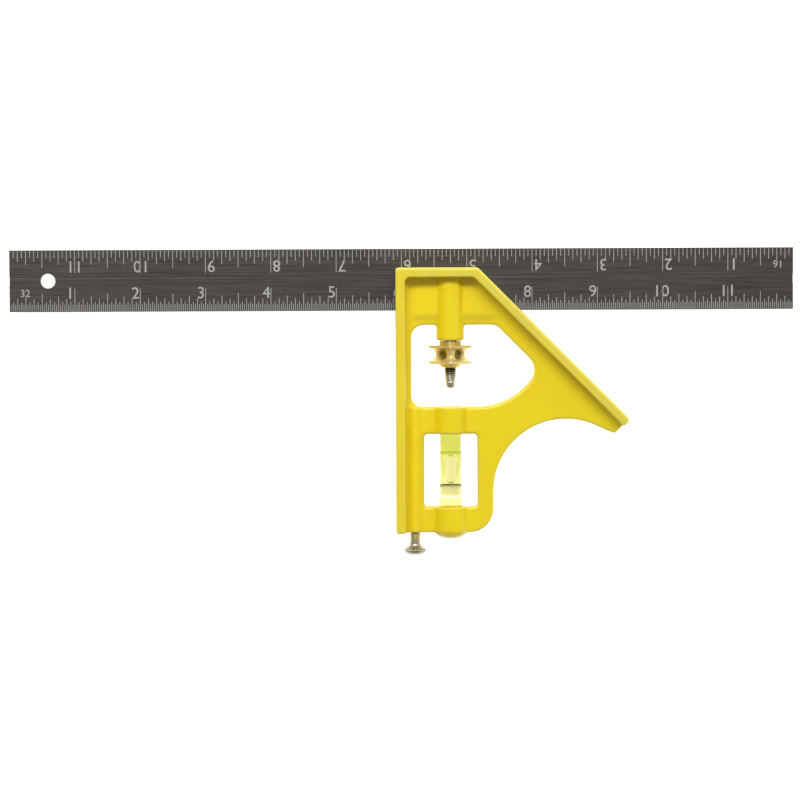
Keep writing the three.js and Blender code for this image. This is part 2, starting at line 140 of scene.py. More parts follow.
def spot(name, description, default):
    """A place setting, in metres."""
    return FloatVectorProperty(
        name=name, description=description, default=default, size=3, subtype="TRANSLATION", unit="LENGTH"
    )


def colour(name, description, default):
    """A colour setting, as linear red, green and blue."""
    return FloatVectorProperty(
        name=name, description=description, default=default, size=3, min=0.0, max=1.0, subtype="COLOR"
    )


class SquareHeadSettings(bpy.types.PropertyGroup):
    """The cast head's finish."""

    grain: length("Rounding step", "Cell size, in mm, that the casting's edges are rounded with", 0.5, 0.3)
    rounds: count("Smoothing rounds", "How often the rounded casting is smoothed", 3, 0)
    paint: colour("Paint", "The casting's yellow paint", (0.88, 0.70, 0.007))
    # Its colour is also painted shade in inner corners, as well as random patches.
    paint_deep: colour("Deep paint and shade", "The paint where it lies thicker", (0.86, 0.63, 0.005))
    # Its colour is also a painted highlight over outer edges.
    paint_thin: colour("Thin paint and highlight", "The paint where it thins over edges", (0.82, 0.76, 0.20))
    paint_rubbed: colour("Rubbed paint", "The paint on the rims' rubbed faces", (0.74, 0.63, 0.07))
    # Painted shade along the web's edge above the opening.
    paint_pooled: colour("Painted edge shade", "The paint along the web's upper opening", (0.66, 0.51, 0.012))
    sole_metal: colour("Sole metal", "The bare metal of the two machined faces", (0.62, 0.62, 0.60))


class SquareBladeSettings(bpy.types.PropertyGroup):
    """The rule's finish and its graduations."""

    edge: length("Edge", "Width of the rule's broken edges, in mm", 0.2)
    mark_width: length("Mark width", "Width of a graduation line, in mm", 0.23)
    mark_height: length("Mark height", "How far the marks stand proud of the rule, in mm", 0.012)
    number_height: length("Number height", "Height of the inch numbers, in mm", 4.5)
    scale_height: length("Scale height", "Height of the numbers that name the scales, in mm", 2.8)
    lower_number: length("Lower numbers", "From the rule's lower edge to its numbers' middle, in mm", 7.3)
    upper_number: length("Upper numbers", "From the rule's upper edge to its numbers' middle, in mm", 6.5)
    lower_beside: length("Lower offset", "From a lower inch line to its number's middle, in mm", 1.8)
    upper_beside: length("Upper offset", "From an upper inch line to its number's middle, in mm", 2.3)
    steel: colour("Steel", "The rule's dark steel", (0.080, 0.073, 0.062))
    mark: colour("Mark", "The graduations and numbers", (0.465, 0.455, 0.415))


class SquareClampSettings(bpy.types.PropertyGroup):
    """The clamp bolt, its lock nut and its spring."""

    pitch: length("Pitch", "The thread's pitch, in mm", 0.8, 0.2)
    thread_depth: length("Thread depth", "The thread's depth, in mm", 0.42)
    stem_radius: length("Stem radius", "Radius of the bolt over its thread, in mm", 2.35)
    taper: length("Taper", "Length of the bolt's tapered end, in mm", 4.0)
    end_radius: length("End radius", "Radius of the bolt's end, in mm", 1.45)
    lobes: count("Lobes", "Number of lobes round the nut", 4, 3)
    flute_depth: length("Flute depth", "Depth of the flutes between the lobes, in mm", 2.2)
    waist: length("Waist", "The nut's radius at its waist, in mm", 5.7)
    brass: colour("Brass", "The nut's brass", (0.92, 0.75, 0.35))
    # Tarnish and painted shade in the nut's flutes.
    hollow_brass: colour("Tarnished and shaded brass", "The nut's brass in its flutes", (0.20, 0.14, 0.014))
    # Painted shade on the nut's collar, under the boss.
    oiled_brass: colour("Collar shade brass", "The nut's brass on its collar", (0.60, 0.47, 0.16))
    steel: colour("Steel", "The bolt's steel", (0.60, 0.59, 0.54))
    # Painted shadow on the bolt's steel just below the nut.
    oiled_steel: colour("Nut shadow steel", "The bolt's steel beside the nut", (0.20, 0.165, 0.095))
    spring: colour("Spring", "The spring's steel", (0.42, 0.41, 0.38))


class SquareVialSettings(bpy.types.PropertyGroup):
    """The spirit vial."""

    bubble_length: length("Bubble length", "Length of the bubble, in mm", 11.4)
    bubble_width: length("Bubble width", "Width of the bubble, in mm", 5.4)
    fluid: colour("Fluid", "The vial's fluid", (0.685, 0.755, 0.178))
    fluid_thin: colour("Thin fluid", "The fluid where the bubble leaves little of it", (0.91, 0.905, 0.68))
    fluid_low: colour("Low fluid", "The fluid below the lower sight ring", (0.62, 0.60, 0.35))
    clear: colour("Clear wall", "The vial's clear wall", (0.965, 0.955, 0.84))
    clear_deep: colour("Clear end", "The vial's solid clear end", (0.95, 0.865, 0.36))
    worn_ring: colour("Worn ring", "The upper sight ring, worn pale", (0.80, 0.80, 0.50))
    grey_ring: colour("Grey ring", "The lower sight ring", (0.50, 0.48, 0.28))
    plug: colour("Plug", "The plug that keeps the vial in its bore", (0.72, 0.68, 0.55))
    pad: colour("Pad", "The soft pad that the vial seats on", (0.03, 0.03, 0.03))


class SquareScriberSettings(bpy.types.PropertyGroup):
    """The scriber, its knob and its bush."""

    knob: colour("Knob", "The knob's turned metal", (0.52, 0.49, 0.43))
    # The neck is given a browner yellow than the rest of the knob.
    neck: colour("Neck", "The knob's neck, in a browner yellow", (0.72, 0.60, 0.27))
    needle: colour("Needle", "The scriber's steel", (0.52, 0.51, 0.48))
    bush: colour("Bush", "The brass of the bush that holds the scriber", (0.62, 0.44, 0.13))
    knurls: count("Knurls", "Grip flutes round the knob's rim", 28, 8)


class SquareStageSettings(bpy.types.PropertyGroup):
    """The floor, the light and the camera."""

    floor: colour("Floor", "The floor's colour", (0.55, 0.55, 0.55))
    floor_light: colour("Floor light", "The colour of the light that the floor gives off", (0.95,) * 3)
    floor_glow: share("Floor glow", "Light that the floor gives off, which hides its shadows", 1.0)
    horizon: share("Horizon light", "Strength of the even light from low down", 0.20)
    zenith: share("Zenith light", "Strength of the even light from above", 0.275)
    key: power("Key light", "The key light's power", 25.0)
    key_place: spot("Key place", "Where the key light hangs", (-0.15, 0.9, 1.4))
    fill: power("Fill light", "The fill light's power", 2.3)
    fill_place: spot("Fill place", "Where the fill light stands", (0.85, 0.35, 0.36))
    lights_aim: spot("Aim", "The point that both lights are aimed at", (0.0, 0.0, 0.01))
    lens: FloatProperty(name="Lens", description="The camera's focal length, in mm", default=135.0, min=20.0)
    distance: FloatProperty(
        name="Distance", description="From the camera to the rule", default=1.1698, min=0.1, unit="LENGTH"
    )


SETTINGS = {
    "square_head": SquareHeadSettings,
    "square_blade": SquareBladeSettings,
    "square_clamp": SquareClampSettings,
    "square_vial": SquareVialSettings,
    "square_scriber": SquareScriberSettings,
    "square_stage": SquareStageSettings,
}


# Surfaces


class Editing:
    """Opens a mesh for editing in a with block, and writes it back at the block's end."""

    def __init__(self, mesh):
        self.mesh = mesh

    def __enter__(self):
        self.work = bmesh.new()
        self.work.from_mesh(self.mesh)
        return self.work

    def __exit__(self, *problem):
        self.work.to_mesh(self.mesh)
        self.work.free()


def read_rows(data, attribute, width, kind=float):
    """An attribute of a mesh's points, edges or triangles as an array of rows of that width."""
    values = np.empty(len(data) * width, kind)
    data.foreach_get(attribute, values)
    return values.reshape(-1, width)


def keep_values(mesh, name, values):
    """Keeps a value for each point of the mesh under that name, for its material to read."""
    attribute = mesh.attributes.new(name, "FLOAT", "POINT")
    attribute.data.foreach_set("value", values.astype(np.float32))


def grid_faces(rows, columns, closed):
    """Four-cornered faces between neighbours of a grid. Its columns run round and close, and so
    do its rows where closed is true."""
    row, column = np.meshgrid(np.arange(rows if closed else rows - 1), np.arange(columns), indexing="ij")
    below, beside = (row + 1) % rows, (column + 1) % columns
    corners = [
        row * columns + column,
        row * columns + beside,
        below * columns + beside,
        below * columns + column,
    ]
    return np.stack(corners, -1).reshape(-1, 4)


def mesh_of(name, points, faces):
    """A mesh from an n by 3 array of points in millimetres and an array of faces, with its
    doubled points merged and its faces pointing outwards."""
    mesh = bpy.data.meshes.new(name)
    mesh.from_pydata((points * MM).tolist(), [], faces.tolist())
    with Editing(mesh) as work:
        bmesh.ops.remove_doubles(work, verts=work.verts, dist=1e-7)
        bmesh.ops.recalc_face_normals(work, faces=work.faces)
    return mesh


def hollowed(name, solid, hollow):
    """One mesh of a solid and the wall of a hollow inside it, which takes the place of both."""
    hollow.flip_normals()
    mesh = bpy.data.meshes.new(name)
    with Editing(mesh) as work:
        for part in (solid, hollow):
            work.from_mesh(part)
            bpy.data.meshes.remove(part)
    return mesh


def smooth(mesh, angle):
    """Shades the mesh smooth, with edges sharper than the angle in degrees kept."""
    mesh.shade_smooth()
    mesh.set_sharp_from_angle(angle=math.radians(angle))


def eased(profile, cut, steps):
    """The profile with its corners eased. A corner P between the points B and C gives way to a
    parabola of that many points, which starts on PB and ends on PC, both as far from P: by the
    cut, or by 0.45 of the shorter side where that is less."""
    points = np.asarray(profile, float)
    corner = points[1:-1, None]
    back, ahead = points[:-2, None] - corner, points[2:, None] - corner
    back_length = np.linalg.norm(back, axis=-1, keepdims=True)
    ahead_length = np.linalg.norm(ahead, axis=-1, keepdims=True)
    reach = np.minimum(cut, 0.45 * np.minimum(back_length, ahead_length))
    start, end = corner + back / back_length * reach, corner + ahead / ahead_length * reach
    u = np.linspace(0, 1, steps)[None, :, None]
    curve = (1 - u) ** 2 * start + 2 * u * (1 - u) * corner + u**2 * end
    return np.vstack([points[:1], curve.reshape(-1, 2), points[-1:]])


def round_angles(sides):
    """The angles of that many even steps round a full turn, as one row."""
    return np.arange(sides)[None, :] * (2 * np.pi / sides)


def turned_points(radius, height, angle, axis):
    """Points at a radius and a height round the line x = axis[0], z = axis[1], which runs along Y:
    (axis x + r sin a, y, axis z + r cos a)."""
    radius, height, angle = np.broadcast_arrays(radius, height, angle)
    points = [axis[0] + radius * np.sin(angle), height, axis[1] + radius * np.cos(angle)]
    return np.stack(points, -1).reshape(-1, 3)


def turned(name, profile, axis, sides=96, flute=None):
    """A turned piece from rows of (radius, height). Each point stands at its radius and height at
    every one of the sides' angles. flute(radius, angle) gives how far the surface is cut in
    there. A profile that doesn't start on the axis is a closed loop, as of a ring."""
    profile = np.asarray(profile, float)
    angle = round_angles(sides)
    radius, height = profile[:, :1], profile[:, 1:]
    cut = 0 if flute is None else flute(radius, angle)
    points = turned_points(radius - cut, height, angle, axis)
    return mesh_of(name, points, grid_faces(len(profile), sides, profile[0, 0] > 0))


def boxes(low, high):
    """Closed boxes between rows of low corners and rows of high corners, as points and faces."""
    pick = np.array([[x, y, z] for x in (0, 1) for y in (0, 1) for z in (0, 1)])
    points = np.where(pick[None], high[:, None], low[:, None]).reshape(-1, 3)
    sides = np.array([[0, 1, 3, 2], [4, 6, 7, 5], [0, 4, 5, 1], [2, 3, 7, 6], [0, 2, 6, 4], [1, 5, 7, 3]])
    faces = (np.arange(len(low)) * 8)[:, None, None] + sides[None]
    return points, faces.reshape(-1, 4)


def merged_copy(node, name):
    """A copy of a CAD node's mesh with its loose triangles merged and its flat faces made whole."""
    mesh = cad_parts[node].data.copy()
    mesh.name = name
    with Editing(mesh) as work:
        bmesh.ops.remove_doubles(work, verts=work.verts, dist=1e-6)
        bmesh.ops.dissolve_limit(
            work, angle_limit=math.radians(0.5), verts=work.verts, edges=work.edges
        )
    normals = mesh.attributes.get("custom_normal")
    if normals:
        mesh.attributes.remove(normals)
    return mesh


def link(name, data):
    """A new object in the scene that shows a mesh, a light or a camera."""
    obj = bpy.data.objects.new(name, data)
    bpy.context.scene.collection.objects.link(obj)
    return obj


def add_piece(mesh, material, body, slot, *nodes):
    """Shows the mesh as a piece that rides on a body and stands for those CAD nodes."""
    obj = link(mesh.name, mesh)
    mesh.materials.clear()
    mesh.materials.append(material)
    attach(obj, body)
    if nodes:
        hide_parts(*nodes)
    return obj


def dress(node, material):
    """Gives a CAD node that stays shown its finished material."""
    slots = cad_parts[node].material_slots
    if not slots:
        raise RuntimeError(f"{node} has no material slot")
    for slot in slots:
        slot.material = material


def round_edges(obj, width):
    """Rounds the piece's edges with a Bevel modifier of that width."""
    modifier = obj.modifiers.new("Rounded edges", "BEVEL")
    modifier.width = width * MM
    modifier.segments = 2
    modifier.limit_method = "ANGLE"
    modifier.angle_limit = math.radians(30)
    modifier.harden_normals = True


# Node trees


def opaque(rgb):
    """A colour with its alpha."""
    return (*rgb[:3], 1.0)


def toned(rgb, tone):
    """A colour made darker or lighter by a factor."""
    return [min(1.0, tone * part) for part in rgb]


class Tree:
    """A node tree with a call for each kind of node that the materials use. An input is given as
    another node's output, which is linked, or as a value, which is set."""

    def __init__(self, tree):
        self.tree = tree

    def join(self, socket, value):
        """Links or sets one socket. A colour needs no alpha."""
        if isinstance(value, bpy.types.NodeSocket):
            self.tree.links.new(value, socket)
        else:
            socket.default_value = opaque(value) if socket.type == "RGBA" else value

    def join_named(self, sockets, values):
        """Joins sockets by their names, with underscores for spaces."""
        for name, value in values.items():
            self.join(sockets[name.replace("_", " ")], value)

    def add(self, kind, inputs=None, **settings):
        """A new node with its inputs, by name or number, and its settings."""
        node = self.tree.nodes.new(kind)
        for name, value in settings.items():
            setattr(node, name, value)
        for key, value in (inputs or {}).items():
            self.join(node.inputs[key], value)
        return node

    def math(self, operation, first, second=0.0):
        """The result of a sum or a comparison of two numbers."""
        return self.add("ShaderNodeMath", {0: first, 1: second}, operation=operation).outputs[0]

    def product(self, first, *others):
        """All the values multiplied."""
        for other in others:
            first = self.math("MULTIPLY", first, other)
        return first

    def apart(self, value, middle):
        """How far a length in metres lies from a middle in millimetres, in metres."""
        return self.math("ABSOLUTE", self.math("SUBTRACT", value, middle * MM))

    def vector(self, operation, *inputs):
        """The results of a sum on vectors, as Vector or Value."""
        return self.add("ShaderNodeVectorMath", dict(enumerate(inputs)), operation=operation).outputs

    def mix(self, factor, first, second):
        """From the first colour to the second as the factor goes from 0 to 1."""
        node = self.add("ShaderNodeMix", {0: factor, 6: first, 7: second}, data_type="RGBA")
        return node.outputs[2]

    def between(self, value, low, high, to_low=0.0, to_high=1.0):
        """The value's place between low and high, scaled to to_low and to_high."""
        inputs = {"Value": value, "From Min": low, "From Max": high, "To Min": to_low, "To Max": to_high}
        return self.add("ShaderNodeMapRange", inputs).outputs["Result"]

    def across(self, value, low, high, to_low=0.0, to_high=1.0):
        """The same for a length in metres, with low and high in millimetres."""
        return self.between(value, low * MM, high * MM, to_low, to_high)

    def scaled(self, mask, low, high):
        """A mask of 0 to 1 scaled to low and high."""
        return self.between(mask, 0.0, 1.0, low, high)

    def place(self):
        """The surface's place on the object, in metres."""
        return self.add("ShaderNodeTexCoord").outputs["Object"]

    def split(self, vector):
        """A vector's parts, named X, Y and Z."""
        return self.add("ShaderNodeSeparateXYZ", {0: vector}).outputs

    def noise(self, scale, detail=2.0, roughness=0.5, place=None):
        """Cloudy noise of about 0 to 1 over the object's place, or over another vector."""
        inputs = {"Scale": scale, "Detail": detail, "Roughness": roughness}
        inputs["Vector"] = self.place() if place is None else place
        return self.add("ShaderNodeTexNoise", inputs).outputs["Fac"]

    def kept(self, name):
        """The values that the mesh keeps for its points under that name."""
        return self.add("ShaderNodeAttribute", attribute_name=name).outputs["Fac"]

    def bump(self, height, strength, depth, normal=None):
        """A bump from a height of 0 to 1, over that depth, on top of another bump's normal."""
        inputs = {"Height": height, "Strength": strength, "Distance": depth * MM}
        if normal is not None:
            inputs["Normal"] = normal
        return self.add("ShaderNodeBump", inputs).outputs["Normal"]

    def group(self, name, **inputs):
        """A shared group's node, which is built the first time it is asked for."""
        group = bpy.data.node_groups.get(name) or GROUPS[name](name)
        node = self.add("ShaderNodeGroup", node_tree=group)
        self.join_named(node.inputs, inputs)
        return node.outputs

    def mottle(self, tint, other, scale, amount):
        """Uneven patches of another colour, as a colour and a mask."""
        return self.group("Mottle", Colour=tint, Other_Colour=other, Scale=scale, Amount=amount)


class Finish(Tree):
    """A new material's node tree. viewport is the material's plain colour."""

    def __init__(self, name, viewport):
        self.material = bpy.data.materials.new(name)
        self.material.use_nodes = True
        self.material.diffuse_color = opaque(viewport)
        super().__init__(self.material.node_tree)

    def surface(self, **inputs):
        """The finished material, with its surface shader's inputs."""
        self.join_named(self.tree.nodes["Principled BSDF"].inputs, inputs)
        return self.material


def new_group(name, inputs, outputs):
    """A shader node group whose sockets have those titles and kinds: its tree, the sockets that
    bring its inputs and the sockets that take its outputs."""
    group = bpy.data.node_groups.new(name, "ShaderNodeTree")
    for way, sockets in (("INPUT", inputs), ("OUTPUT", outputs)):
        for title, kind in sockets.items():
            group.interface.new_socket(title, in_out=way, socket_type=f"NodeSocket{kind}")
    tree = Tree(group)
    return tree, tree.add("NodeGroupInput").outputs, tree.add("NodeGroupOutput").inputs


def mottle_group(name):
    """Soft uneven patches between two colours, and the mask that mixes them."""
    tree, given, out = new_group(
        name,
        {"Colour": "Color", "Other Colour": "Color", "Scale": "Float", "Amount": "Float"},
        {"Colour": "Color", "Mask": "Float"},
    )
    mask = tree.between(tree.noise(given["Scale"], 4.0, 0.6), 0.35, 0.65)
    part = tree.product(mask, given["Amount"])
    tree.join(out["Colour"], tree.mix(part, given["Colour"], given["Other Colour"]))
    tree.join(out["Mask"], mask)
    return tree.tree


def streak_group(name):
    """Fine marks drawn out along one direction, as brushing or milling leaves them. Stretch scales
    the object's place, so the direction with the smallest number runs along."""
    tree, given, out = new_group(
        name, {"Stretch": "Vector", "Scale": "Float"}, {"Height": "Float", "Mask": "Float"}
    )
    place = tree.vector("MULTIPLY", tree.place(), given["Stretch"])["Vector"]
    height = tree.noise(given["Scale"], 3.0, 0.55, place)
    tree.join(out["Height"], height)
    tree.join(out["Mask"], tree.between(height, 0.4, 0.6))
    return tree.tree


def lathe_group(name):
    """The fine rings that a lathe tool leaves on a piece turned about the Y line through Axis."""
    tree, given, out = new_group(
        name, {"Axis": "Vector", "Scale": "Float"}, {"Height": "Float", "Mask": "Float"}
    )
    part = tree.split(tree.vector("SUBTRACT", tree.place(), given["Axis"])["Vector"])
    flat = tree.add("ShaderNodeCombineXYZ", {"X": part["X"], "Z": part["Z"]}).outputs[0]
    radius = tree.vector("LENGTH", flat)["Value"]
    along = tree.product(tree.math("ADD", part["Y"], radius), given["Scale"])
    inputs = {"W": along, "Scale": 1.0, "Detail": 3.0}
    height = tree.add("ShaderNodeTexNoise", inputs, noise_dimensions="1D").outputs["Fac"]
    tree.join(out["Height"], height)
    tree.join(out["Mask"], tree.between(height, 0.38, 0.62))
    return tree.tree


GROUPS = {"Mottle": mottle_group, "Streaks": streak_group, "Lathe rings": lathe_group}


# Materials


def bare_faces(tree, place):
    """1 on the 90 degree and the 45 degree face, and 0 elsewhere on the casting."""
    sole_90 = tree.math("LESS_THAN", place["X"], (HEAD_LOW[0] + SOLE_SKIN) * MM)
    slant = tree.math("ADD", place["X"], place["Y"])
    sole_45 = tree.math("GREATER_THAN", slant, (HEAD_SLANT - SOLE_SKIN * math.sqrt(2)) * MM)
    return tree.math("MAXIMUM", sole_90, sole_45)


def rubbed_paint(tree, place, height):
    """How far the paint is rubbed on the rims' outer faces: unevenly, and less beside the 90
    degree face. height is how far the surface lies from the casting's middle plane."""
    half, rounding, flat = (HEAD_HIGH[2] - HEAD_LOW[2]) / 2, 0.45, 0.1
    face_rim, beyond = HEAD_LOW[0] + 4.0, HEAD_LOW[0] + 9.0
    on_rim = tree.across(height, half - rounding, half - flat)
    uneven = tree.between(tree.noise(140.0, 5.0, 0.65), 0.3, 0.6, 0.5, 1.0)
    handled = tree.across(place["X"], face_rim, beyond, 0.4, 1.0)
    return tree.product(on_rim, uneven, handled)


def pooled_paint(tree, place, height):
    """How far painted shade darkens the paint along the web's edge above the opening, and there only as high
    as the web. height is how far the surface lies from the casting's middle plane."""
    edge_line, core, reach, most = 32.9, 0.3, 2.2, 0.9
    start, full_from = HEAD_LOW[0] + 6.0, HEAD_LOW[0] + 8.0
    full_to, end = HEAD_LOW[0] + 36.0, HEAD_LOW[0] + 42.0
    web_skin, web_end = WEB_HALF + 0.2, WEB_HALF + 0.6
    near = tree.across(tree.apart(place["Y"], edge_line), reach, core, 0.0, most)
    left = tree.across(place["X"], start, full_from)
    right = tree.across(place["X"], end, full_to)
    on_web = tree.across(height, web_end, web_skin)
    return tree.product(near, left, on_web, right)


def paint_material(settings):
    """Glossy yellow paint on the casting, paler over its edges, where the paint runs thinner and as a
    painted highlight, darker in its inner corners, where the paint lies thicker and as painted shade, rubbed
    on its rims, darkened by painted shade along the web's edge above the opening, and bare metal milled flat
    on the 90 degree and the 45 degree face."""
    tree = Finish("cast_paint", settings.paint)
    place = tree.split(tree.place())
    height = tree.apart(place["Z"], (HEAD_LOW[2] + HEAD_HIGH[2]) / 2)
    bare = bare_faces(tree, place)
    rubbed = rubbed_paint(tree, place, height)
    edge = tree.kept("edge")
    # Outer edges turn paler: paint running thinner, and a painted highlight.
    thin_and_highlight = tree.between(edge, 0.56, 0.92, 0.0, 0.55)
    # Inner corners turn darker: paint lying thicker, and painted shade.
    thick_and_shade = tree.between(edge, 0.45, 0.15, 0.0, 0.6)
    patches = tree.mottle(settings.paint, settings.paint_deep, 70.0, 0.7)
    paint = patches["Colour"]
    layers = (
        (rubbed, settings.paint_rubbed),
        (thin_and_highlight, settings.paint_thin),
        (thick_and_shade, settings.paint_deep),
        # painted shade along the web's edge above the opening
        (pooled_paint(tree, place, height), settings.paint_pooled),
    )
    for amount, tint in layers:
        paint = tree.mix(amount, paint, tint)
    milling = tree.group("Streaks", Stretch=(1.0, 1.0, 0.03), Scale=4200.0)
    metal = tree.mix(milling["Mask"], settings.sole_metal, toned(settings.sole_metal, 0.86))
    dullness = tree.scaled(rubbed, tree.scaled(patches["Mask"], 0.28, 0.34), 0.46)
    dullness = tree.math("MAXIMUM", dullness, thin_and_highlight)
    peel = tree.bump(tree.noise(520.0), 0.3, 0.05)
    return tree.surface(
        Base_Color=tree.mix(bare, paint, metal),
        Metallic=bare,
        Roughness=tree.scaled(bare, dullness, 0.34),
        Coat_Weight=tree.between(tree.math("MAXIMUM", bare, thin_and_highlight), 0.0, 0.5, 0.25, 0.0),
        Coat_Roughness=0.12,
        Specular_IOR_Level=0.4,
        Normal=tree.bump(tree.product(milling["Height"], bare), 0.4, 0.01, peel),
    )


def blade_material(settings):
    """Dark satin steel, brushed along the rule, and painted lighter along the upper wall of its groove, to
    lighten the shadow that the wall casts.
    """
    tree = Finish("rule_steel", settings.steel)
    patches = tree.mottle(settings.steel, toned(settings.steel, 0.72), 45.0, 0.6)
    brushing = tree.group("Streaks", Stretch=(0.02, 1.0, 1.0), Scale=2400.0)
    lines = tree.product(brushing["Mask"], 0.5)
    brushed = tree.mix(lines, patches["Colour"], toned(settings.steel, 1.35))
    # Painted light: a lighter line along the groove's upper wall, over the shadow it casts.
    wall = (BLADE_LOW[1] + BLADE_HIGH[1]) / 2 + GROOVE_HALF
    core, reach = 0.25, 0.55
    worn = tree.across(tree.apart(tree.split(tree.place())["Y"], wall - core), reach, core)
    return tree.surface(
        Base_Color=tree.mix(worn, brushed, toned(settings.steel, 2.1)),
        Metallic=0.75,
        Roughness=tree.scaled(brushing["Mask"], 0.38, 0.50),
        Normal=tree.bump(brushing["Height"], 0.4, 0.01),
    )


def mark_material(settings):
    """The pale etched graduations, a little uneven along their length."""
    tree = Finish("rule_marks", settings.mark)
    patches = tree.mottle(settings.mark, toned(settings.mark, 0.65), 160.0, 0.6)
    return tree.surface(Base_Color=patches["Colour"], Roughness=tree.scaled(patches["Mask"], 0.5, 0.65))


def turned_material(name, tint, axis, rings, roughness, stain=0.6, above=None, hollow=None, metallic=1.0):
    """Turned metal: lathe rings about its axis, as many as the scale rings says, and slight staining to a
    tint darker by the factor stain. above is a colour with the two heights between which it takes over.
    hollow is the colour that tarnish and painted shade give the hollows, where the mesh keeps values named
    hollow."""
    tree = Finish(name, tint)
    patches = tree.mottle(tint, toned(tint, stain), 420.0, 0.4)
    lathe = tree.group("Lathe rings", Axis=(axis[0] * MM, 0.0, axis[1] * MM), Scale=rings)
    metal = tree.mix(tree.product(lathe["Mask"], 0.35), patches["Colour"], toned(tint, 1.2))
    if above:
        colour_above, low, high = above
        risen = tree.across(tree.split(tree.place())["Y"], low, high)
        metal = tree.mix(risen, metal, colour_above)
    if hollow:
        metal = tree.mix(tree.between(tree.kept("hollow"), 0.2, 0.9), metal, hollow)
    return tree.surface(
        Base_Color=metal,
        Metallic=metallic,
        Roughness=tree.scaled(lathe["Mask"], roughness, roughness + 0.12),
        Normal=tree.bump(lathe["Height"], 0.35, 0.012),
    )


def clear_material(settings):
    """The vial's clear acrylic wall, with faint moulding ripples and a deeper tint in its solid
    lower end."""
    tree = Finish("vial_clear_wall", settings.clear)
    ripple = tree.noise(180.0, 1.0)
    tint = tree.mix(ripple, settings.clear, toned(settings.clear, 0.98))
    solid_from, full_from = FLUID_LOW[1], FLUID_LOW[1] - 2.0
    solid = tree.across(tree.split(tree.place())["Y"], solid_from, full_from)
    return tree.surface(
        Base_Color=tree.mix(solid, tint, settings.clear_deep),
        Metallic=0.0,
        Transmission_Weight=1.0,
        IOR=1.14,
        Roughness=tree.between(ripple, 0.3, 0.7, 0.0, 0.05),
        Normal=tree.bump(ripple, 0.1, 0.02),
    )


def bubble_shade(tree, settings, place):
    """How much of the fluid's own colour shows: from 0 in the bubble's middle to 1 outside it, by
    |x|^4 + |y|^4 with x and y from -1 to 1 over the bubble, and less and less down its length."""
    half_x, half_y = settings.bubble_width / 2, settings.bubble_length / 2
    low, high = BUBBLE_MIDDLE - half_y, BUBBLE_MIDDLE + half_y
    x = tree.across(place["X"], CLAMP_AXIS[0] - half_x, CLAMP_AXIS[0] + half_x, -1.0, 1.0)
    y = tree.across(place["Y"], low, high, -1.0, 1.0)
    fourth_powers = [tree.math("POWER", tree.math("ABSOLUTE", part), 4.0) for part in (x, y)]
    outside = tree.between(tree.math("ADD", *fourth_powers), 0.35, 1.0)
    return tree.product(outside, tree.across(place["Y"], low, high, 0.45, 1.0))


def fluid_material(settings):
    """The vial's yellow-green fluid, paler where the bubble leaves little of it to look through
    and dull below the lower sight ring."""
    tree = Finish("vial_fluid_dye", settings.fluid)
    place = tree.split(tree.place())
    ring_low, ring_high = RING_LOWER[0][1], RING_LOWER[1][1]
    settled = tree.product(
        tree.across(place["Y"], ring_high, ring_low),
        tree.across(place["Y"], FLUID_LOW[1], ring_low, 0.25, 1.0),
    )
    cloud = tree.noise(130.0)
    fluid = tree.mix(cloud, settings.fluid, toned(settings.fluid, 0.95))
    fluid = tree.mix(bubble_shade(tree, settings, place), settings.fluid_thin, fluid)
    return tree.surface(
        Base_Color=tree.mix(settled, fluid, settings.fluid_low),
        Metallic=0.0,
        Transmission_Weight=1.0,
        IOR=1.06,
        Roughness=tree.between(cloud, 0.3, 0.7, 0.0, 0.04),
    )


def worn_ring_material(settings):
    """The upper sight ring, so worn that light passes through it unevenly."""
    tree = Finish("sight_ring_worn", settings.worn_ring)
    patches = tree.mottle(settings.worn_ring, toned(settings.worn_ring, 0.8), 900.0, 0.5)
    return tree.surface(
        Base_Color=patches["Colour"], Metallic=0.0, Transmission_Weight=1.0, IOR=1.1, Roughness=0.1
    )


def moulded_material(name, tint, roughness):
    """Moulded plastic or rubber: a fine grain and slight unevenness of colour."""
    tree = Finish(name, tint)
    patches = tree.mottle(tint, toned(tint, 0.75), 300.0, 0.5)
    grain = tree.noise(2500.0)
    return tree.surface(
        Base_Color=patches["Colour"],
        Roughness=tree.between(grain, 0.3, 0.7, roughness - 0.05, roughness + 0.08),
        Normal=tree.bump(grain, 0.3, 0.01),
    )


def floor_material(settings):
    """The pale floor: almost even, with a soft light of its own that hides its shadows."""
    tree = Finish("pale_floor", settings.floor)
    patches = tree.mottle(settings.floor, toned(settings.floor, 0.99), 12.0, 0.5)
    return tree.surface(
        Base_Color=patches["Colour"],
        Roughness=0.9,
        Specular_IOR_Level=0.1,
        Emission_Color=settings.floor_light,
        Emission_Strength=settings.floor_glow,
    )


# Pieces


def edge_values(mesh, cell):
    """For each point, 0.5 where the surface is flat, towards 1 on outer edges and towards 0 in
    inner corners. A point's bend is how far its neighbours' mean lies below it along its normal,
    in cells, averaged twice with its neighbours'."""
    total = len(mesh.vertices)
    place = read_rows(mesh.vertices, "co", 3)
    normal = read_rows(mesh.vertex_normals, "vector", 3)
    ends = read_rows(mesh.edges, "vertices", 2, np.int64)
    near = np.bincount(ends.ravel(), minlength=total)

    def neighbour_mean(values):
        sums = np.bincount(ends[:, 0], values[ends[:, 1]], total)
        sums += np.bincount(ends[:, 1], values[ends[:, 0]], total)
        return sums / near

    mean = np.stack([neighbour_mean(place[:, axis]) for axis in range(3)], -1)
    bend = ((place - mean) * normal).sum(-1) / (cell * MM)
    for _ in range(2):
        bend = (bend + neighbour_mean(bend)) / 2
    return np.clip(0.5 + 2.5 * bend, 0, 1)


